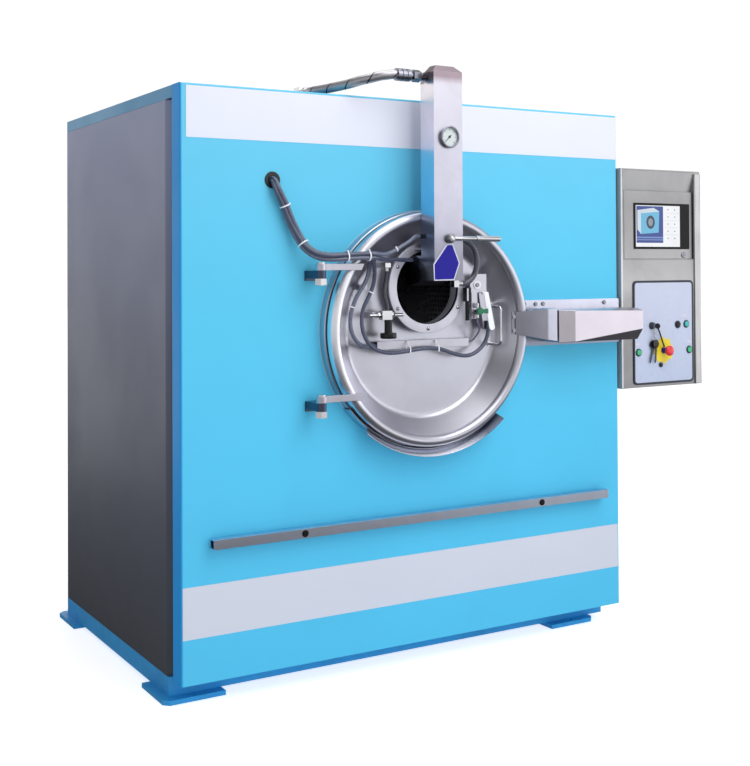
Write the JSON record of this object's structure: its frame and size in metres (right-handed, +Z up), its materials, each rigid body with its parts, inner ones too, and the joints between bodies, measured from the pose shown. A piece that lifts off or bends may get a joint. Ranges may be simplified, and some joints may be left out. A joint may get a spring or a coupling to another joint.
{
  "type": "sample garment washing machine",
  "caption": "Front loading sample garment washing machine with a dished swing door, a spray tower on the door, a side lock and a control box",
  "frame": {"origin": "middle of the base of the whole object's box, on the floor", "axes": "+Z up, +X to the right seen from the door side, the door faces -Y"},
  "size_m": [2.218, 1.424, 2.024],
  "materials": {
    "cabinet_blue": "satin enamel, sky blue",
    "skid_blue": "satin enamel, mid blue",
    "panel_grey": "satin enamel, grey",
    "band_white": "smooth white film",
    "steel": "brushed stainless steel",
    "bright_steel": "polished stainless steel",
    "box_grey": "satin enamel, mid grey",
    "plate_steel": "fine brushed steel",
    "lock_steel": "brushed steel cover",
    "cast": "painted casting",
    "motor_paint": "machine enamel",
    "rubber": "matte black rubber",
    "seal_rubber": "matte dark rubber",
    "cord_grey": "grey blue cable jacket",
    "sign_blue": "gloss blue enamel",
    "brass": "machined brass and chrome",
    "black_plastic": "moulded black plastic",
    "green_plastic": "moulded green plastic",
    "teal_plastic": "moulded teal plastic",
    "red_plastic": "moulded red plastic",
    "screen_black": "glossy display glass",
    "red_paint": "red pointer enamel"
  },
  "bodies": {
    "cabinet": {"base_frame": "skid_blue", "front_panel": "cabinet_blue", "side_panel_left": "panel_grey", "side_panel_right": "panel_grey", "rear_panel": "panel_grey", "top_panel": "skid_blue", "panel_bands": "band_white", "bumper_rail": "steel", "panel_bolts": "bright_steel", "cable_grommet": "rubber", "tub_shell": "steel", "tub_front": "steel", "drip_tray": "steel", "bearing_housing": "cast", "drum_bearings": "bright_steel", "drive_motor": "motor_paint", "drive_belt": "rubber", "pipe_fittings": "bright_steel", "hinge_blocks": "steel", "lock_base_plate": "steel", "lock_housing": "lock_steel", "control_box": "box_grey", "screen_tray": "box_grey", "button_plate": "plate_steel", "plate_gasket": "seal_rubber", "button_collars": "bright_steel", "tower_hose": "cord_grey", "cable_bundle": "cord_grey"},
    "drum": {"drum": "steel", "drum_pulley": "cast"},
    "motor_rotor": {"motor_pulley": "cast"},
    "door": {"door_dish": "steel", "door_seal": "seal_rubber", "hinge_arms": "steel", "hinge_pins": "bright_steel", "door_handle": "bright_steel", "porthole_ring": "bright_steel", "door_screws": "bright_steel", "door_brackets": "steel", "tower_duct": "steel", "spray_chute": "steel", "sign_plate": "sign_blue", "gauge_case": "bright_steel", "door_cables": "cord_grey", "door_valves": "brass", "latch_cover": "lock_steel"},
    "gauge_needle": {"gauge_needle": "red_paint"},
    "valve_lever": {"valve_lever": "bright_steel"},
    "valve_knob": {"valve_knob": "black_plastic"},
    "sampling_handle": {"sampling_handle": "green_plastic"},
    "lock_bolt": {"lock_bolt": "bright_steel"},
    "screen_door": {"screen_door": "box_grey", "display": "screen_black"},
    "screen_lock": {"screen_lock": "bright_steel"},
    "estop_button": {"estop_button": "red_plastic"},
    "black_button": {"black_button": "black_plastic"},
    "teal_button": {"teal_button": "teal_plastic"},
    "green_button_left": {"green_button_left": "green_plastic"},
    "green_button_right": {"green_button_right": "green_plastic"},
    "key_switch": {"key_switch": "bright_steel"}
  },
  "joints": [
    {"name": "door_swing", "type": "hinge", "parent": "cabinet", "child": "door", "pos_m": [-0.639, -0.615, 1.143], "axis": [0, 0, -1], "range_deg": [0, 110], "deforming": ["tower_hose", "cable_bundle"]},
    {"name": "drum_spin", "type": "hinge", "parent": "cabinet", "child": "drum", "pos_m": [-0.198, -0.031, 1.143], "axis": [0, 1, 0], "continuous": true},
    {"name": "motor_spin", "type": "hinge", "parent": "cabinet", "child": "motor_rotor", "pos_m": [0.319, 0.469, 0.335], "axis": [0, 1, 0], "continuous": true},
    {"name": "needle_turn", "type": "hinge", "parent": "door", "child": "gauge_needle", "pos_m": [-0.196, -0.691, 1.784], "axis": [0, 1, 0], "range_deg": [0, 270]},
    {"name": "lever_turn", "type": "hinge", "parent": "door", "child": "valve_lever", "pos_m": [-0.195, -0.691, 1.447], "axis": [0, -1, 0], "range_deg": [0, 90]},
    {"name": "knob_turn", "type": "hinge", "parent": "door", "child": "valve_knob", "pos_m": [-0.368, -0.581, 1.175], "axis": [0, 0, 1], "range_deg": [0, 270]},
    {"name": "sampling_turn", "type": "hinge", "parent": "door", "child": "sampling_handle", "pos_m": [-0.019, -0.611, 1.199], "axis": [0, -1, 0], "range_deg": [0, 90]},
    {"name": "bolt_slide", "type": "slide", "parent": "cabinet", "child": "lock_bolt", "axis": [-1, 0, 0], "range_m": [0, 0.04]},
    {"name": "screen_swing", "type": "hinge", "parent": "cabinet", "child": "screen_door", "pos_m": [0.716, -0.534, 1.511], "axis": [0, 0, -1], "range_deg": [0, 100]},
    {"name": "screen_lock_turn", "type": "hinge", "parent": "screen_door", "child": "screen_lock", "pos_m": [1.025, -0.534, 1.394], "axis": [0, 1, 0], "range_deg": [0, 90]},
    {"name": "estop_press", "type": "slide", "parent": "cabinet", "child": "estop_button", "axis": [0, 1, 0], "range_m": [0, 0.005], "stiffness_N_per_m": 600},
    {"name": "black_press", "type": "slide", "parent": "cabinet", "child": "black_button", "axis": [0, 1, 0], "range_m": [0, 0.003], "stiffness_N_per_m": 300},
    {"name": "teal_press", "type": "slide", "parent": "cabinet", "child": "teal_button", "axis": [0, 1, 0], "range_m": [0, 0.003], "stiffness_N_per_m": 300},
    {"name": "green_left_press", "type": "slide", "parent": "cabinet", "child": "green_button_left", "axis": [0, 1, 0], "range_m": [0, 0.003], "stiffness_N_per_m": 300},
    {"name": "green_right_press", "type": "slide", "parent": "cabinet", "child": "green_button_right", "axis": [0, 1, 0], "range_m": [0, 0.003], "stiffness_N_per_m": 300},
    {"name": "key_turn", "type": "hinge", "parent": "cabinet", "child": "key_switch", "pos_m": [0.844, -0.546, 1.121], "axis": [0, 1, 0], "range_deg": [0, 90]}
  ],
  "couplings": [
    {"joint": "motor_spin", "follows": "drum_spin", "ratio": 5}
  ]
}
